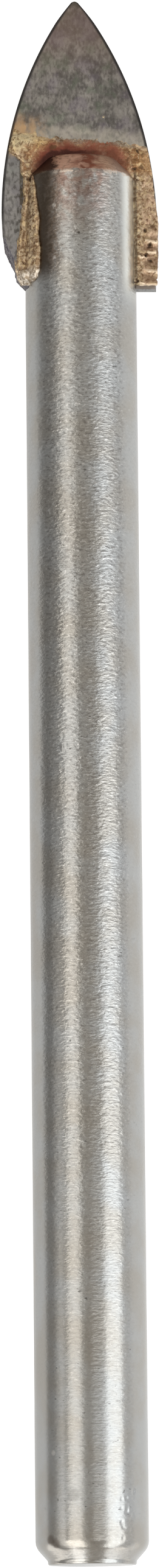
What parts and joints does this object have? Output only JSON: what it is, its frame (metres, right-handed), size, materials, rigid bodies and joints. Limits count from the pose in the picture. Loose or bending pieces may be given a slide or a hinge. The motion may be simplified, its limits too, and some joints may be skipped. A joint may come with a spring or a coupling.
{
  "type": "glass and tile drill bit",
  "caption": "Spear-point drill bit for glass and tile: round plain shank, slotted nose and a brazed carbide plate with two curved ground lips.",
  "frame": {"origin": "centre of the flat tail end of the shank, on the bit's axis", "axes": "+Y along the bit's axis towards the point, +X across the width of the carbide plate, +Z through its thickness; the bit lies on its side on a level surface"},
  "size_m": [0.0081, 0.08, 0.0056],
  "materials": {
    "shank_steel": "satin blasted steel near the tip, smoother and brighter towards the tail",
    "tip_carbide": "ground sintered carbide, dull dark grey",
    "braze_metal": "rough as-cast braze, golden tan with brown oxide and pits"
  },
  "bodies": {
    "root": {"shank": "shank_steel", "carbide_tip": "tip_carbide", "braze": "braze_metal"}
  },
  "joints": []
}
